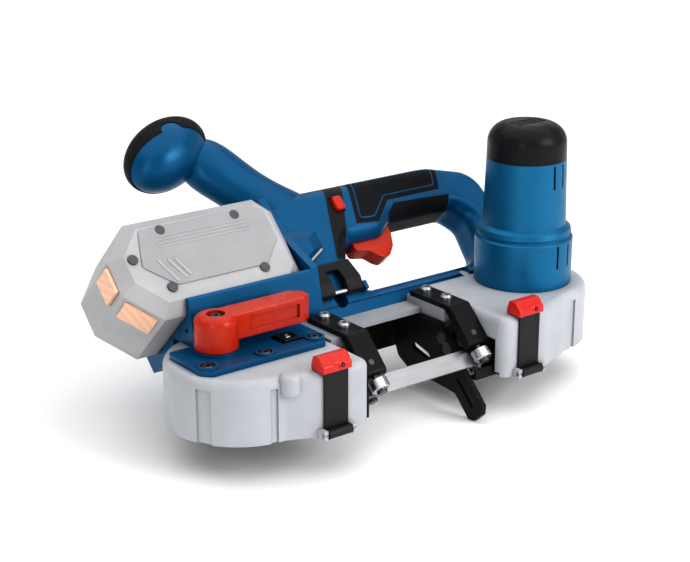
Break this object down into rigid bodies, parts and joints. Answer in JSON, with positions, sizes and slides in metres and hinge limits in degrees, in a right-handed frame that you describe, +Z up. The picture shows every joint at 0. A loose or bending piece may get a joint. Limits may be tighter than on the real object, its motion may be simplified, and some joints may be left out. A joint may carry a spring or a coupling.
{
  "type": "portable band saw",
  "caption": "Battery-powered portable band saw with a tilted D handle, palm knob, two covered band wheels, open throat, roller guides, work stop and tension lever.",
  "frame": {"origin": "on the flat underside of the blade guard, on the axis of the drive wheel and motor", "axes": "+X along the cutting run from the tensioning end to the driven end, +Y from the throat back to the handle, +Z up along the wheel axes"},
  "size_m": [0.346, 0.2343, 0.187],
  "materials": {
    "blue_plastic": "moulded, satin",
    "motor_blue": "moulded, satin",
    "black_rubber": "soft touch",
    "black_plastic": "moulded, fine texture",
    "red_plastic": "moulded, glossy",
    "latch_red": "moulded, glossy",
    "cast_grey": "die cast, light grey lacquer",
    "bridge_metal": "die cast, light grey lacquer",
    "black_metal": "black coating",
    "strap_rubber": "matt",
    "band_steel": "ground",
    "bright_steel": "ground",
    "fastener_steel": "plated",
    "wheel_metal": "turned",
    "tyre_rubber": "smooth",
    "motor_copper": "laminated and wound",
    "inner_plastic": "moulded",
    "battery_grey": "moulded, pale",
    "battery_orange": "moulded, pale, ribbed",
    "cell_wrap": "sleeved cells"
  },
  "bodies": {
    "saw": {"idler_housing": "cast_grey", "drive_housing": "cast_grey", "bridge_frame": "bridge_metal", "blade_guard": "black_metal", "drive_bearing": "bright_steel", "saw_band": "band_steel", "idler_guide_arm": "black_metal", "drive_guide_arm": "black_metal", "guide_pins": "fastener_steel", "guide_arm_screws": "fastener_steel", "work_stop": "black_metal", "stop_screws": "fastener_steel", "deck_cover": "blue_plastic", "deck_screws": "fastener_steel", "latch_pins": "fastener_steel", "motor_housing": "motor_blue", "motor_cap": "black_plastic", "motor_stator": "motor_copper", "reduction_gear": "bright_steel", "front_shell": "blue_plastic", "rear_shell": "blue_plastic", "grip_overmould": "black_rubber", "grip_side_pads": "black_rubber", "control_band": "black_plastic", "knob_cap": "black_rubber", "switch_module": "inner_plastic", "hook_pin": "fastener_steel", "terminal_block": "black_plastic"},
    "rotor": {"motor_rotor": "bright_steel", "cooling_fan": "black_plastic"},
    "drive": {"drive_wheel": "wheel_metal", "drive_tyre": "tyre_rubber", "drive_shaft": "bright_steel"},
    "carriage": {"tension_carriage": "bright_steel", "idler_axle": "bright_steel"},
    "idler": {"idler_wheel": "wheel_metal", "idler_tyre": "tyre_rubber", "idler_bearing": "bright_steel"},
    "lever": {"tension_lever": "red_plastic", "lever_screw": "fastener_steel", "tension_cam": "bright_steel"},
    "trigger": {"trigger": "red_plastic"},
    "lock_off": {"lock_off_button": "red_plastic"},
    "hook": {"hang_hook": "black_plastic"},
    "battery": {"battery_case": "battery_grey", "battery_cells": "cell_wrap", "battery_side_panel": "battery_orange", "battery_screws": "fastener_steel"},
    "release": {"battery_release": "battery_orange"},
    "idler_latch": {"idler_latch_strap": "strap_rubber", "idler_latch_head": "latch_red"},
    "drive_latch": {"drive_latch_strap": "strap_rubber", "drive_latch_head": "latch_red"},
    "idler_front_roller": {"idler_front_roller": "bright_steel"},
    "idler_rear_roller": {"idler_rear_roller": "bright_steel"},
    "idler_back_roller": {"idler_back_roller": "bright_steel"},
    "drive_front_roller": {"drive_front_roller": "bright_steel"},
    "drive_rear_roller": {"drive_rear_roller": "bright_steel"},
    "drive_back_roller": {"drive_back_roller": "bright_steel"}
  },
  "joints": [
    {"name": "motor_spin", "type": "hinge", "parent": "saw", "child": "rotor", "pos_m": [0, 0, 0.1], "axis": [0, 0, 1], "continuous": true},
    {"name": "drive_wheel_spin", "type": "hinge", "parent": "saw", "child": "drive", "pos_m": [0, 0, 0.013], "axis": [0, 0, 1], "continuous": true},
    {"name": "lever_turn", "type": "hinge", "parent": "saw", "child": "lever", "pos_m": [-0.2565, 0.006, 0.05], "axis": [0, 0, -1], "range_deg": [0, 180]},
    {"name": "carriage_slide", "type": "slide", "parent": "saw", "child": "carriage", "axis": [1, 0, 0], "range_m": [0, 0.004]},
    {"name": "idler_wheel_spin", "type": "hinge", "parent": "carriage", "child": "idler", "pos_m": [-0.243, 0, 0.013], "axis": [0, 0, 1], "continuous": true},
    {"name": "trigger_press", "type": "slide", "parent": "saw", "child": "trigger", "axis": [0, 0.7071, 0.7071], "range_m": [0, 0.005], "stiffness_N_per_m": 1500, "springref_m": -0.002},
    {"name": "lock_off_press", "type": "slide", "parent": "saw", "child": "lock_off", "axis": [0, 0.7071, -0.7071], "range_m": [0, 0.0025], "stiffness_N_per_m": 1200, "springref_m": -0.002},
    {"name": "hook_swing", "type": "hinge", "parent": "saw", "child": "hook", "pos_m": [-0.1405, 0.03189, 0.05182], "axis": [1, 0, 0], "range_deg": [0, 110]},
    {"name": "battery_slide", "type": "slide", "parent": "saw", "child": "battery", "axis": [-1, 0, 0], "range_m": [0, 0.1]},
    {"name": "release_press", "type": "slide", "parent": "battery", "child": "release", "axis": [1, 0, 0], "range_m": [0, 0.002], "stiffness_N_per_m": 1500, "springref_m": -0.002},
    {"name": "idler_latch_swing", "type": "hinge", "parent": "saw", "child": "idler_latch", "pos_m": [-0.213, -0.0629, 0.003], "axis": [1, 0, 0], "range_deg": [0, 80]},
    {"name": "drive_latch_swing", "type": "hinge", "parent": "saw", "child": "drive_latch", "pos_m": [-0.05, -0.0629, 0.003], "axis": [1, 0, 0], "range_deg": [0, 80]},
    {"name": "idler_front_roller_spin", "type": "hinge", "parent": "saw", "child": "idler_front_roller", "pos_m": [-0.168, -0.04825, 0.01402], "axis": [0, 0.7071, 0.7071], "continuous": true},
    {"name": "idler_rear_roller_spin", "type": "hinge", "parent": "saw", "child": "idler_rear_roller", "pos_m": [-0.168, -0.03843, 0.0042], "axis": [0, 0.7071, 0.7071], "continuous": true},
    {"name": "idler_back_roller_spin", "type": "hinge", "parent": "saw", "child": "idler_back_roller", "pos_m": [-0.168, -0.03015, 0.0223], "axis": [0, -0.7071, 0.7071], "continuous": true},
    {"name": "drive_front_roller_spin", "type": "hinge", "parent": "saw", "child": "drive_front_roller", "pos_m": [-0.08, -0.04825, 0.01402], "axis": [0, 0.7071, 0.7071], "continuous": true},
    {"name": "drive_rear_roller_spin", "type": "hinge", "parent": "saw", "child": "drive_rear_roller", "pos_m": [-0.08, -0.03843, 0.0042], "axis": [0, 0.7071, 0.7071], "continuous": true},
    {"name": "drive_back_roller_spin", "type": "hinge", "parent": "saw", "child": "drive_back_roller", "pos_m": [-0.08, -0.03015, 0.0223], "axis": [0, -0.7071, 0.7071], "continuous": true}
  ],
  "couplings": [
    {"joint": "drive_wheel_spin", "follows": "motor_spin", "ratio": 0.035714},
    {"joint": "idler_wheel_spin", "follows": "motor_spin", "ratio": 0.035714},
    {"joint": "lever_turn", "follows": "carriage_slide", "rad_per_m": 785.4},
    {"joint": "idler_front_roller_spin", "follows": "motor_spin", "ratio": -0.21511},
    {"joint": "idler_rear_roller_spin", "follows": "motor_spin", "ratio": 0.21511},
    {"joint": "idler_back_roller_spin", "follows": "motor_spin", "ratio": 0.21511},
    {"joint": "drive_front_roller_spin", "follows": "motor_spin", "ratio": -0.21511},
    {"joint": "drive_rear_roller_spin", "follows": "motor_spin", "ratio": 0.21511},
    {"joint": "drive_back_roller_spin", "follows": "motor_spin", "ratio": 0.21511}
  ]
}
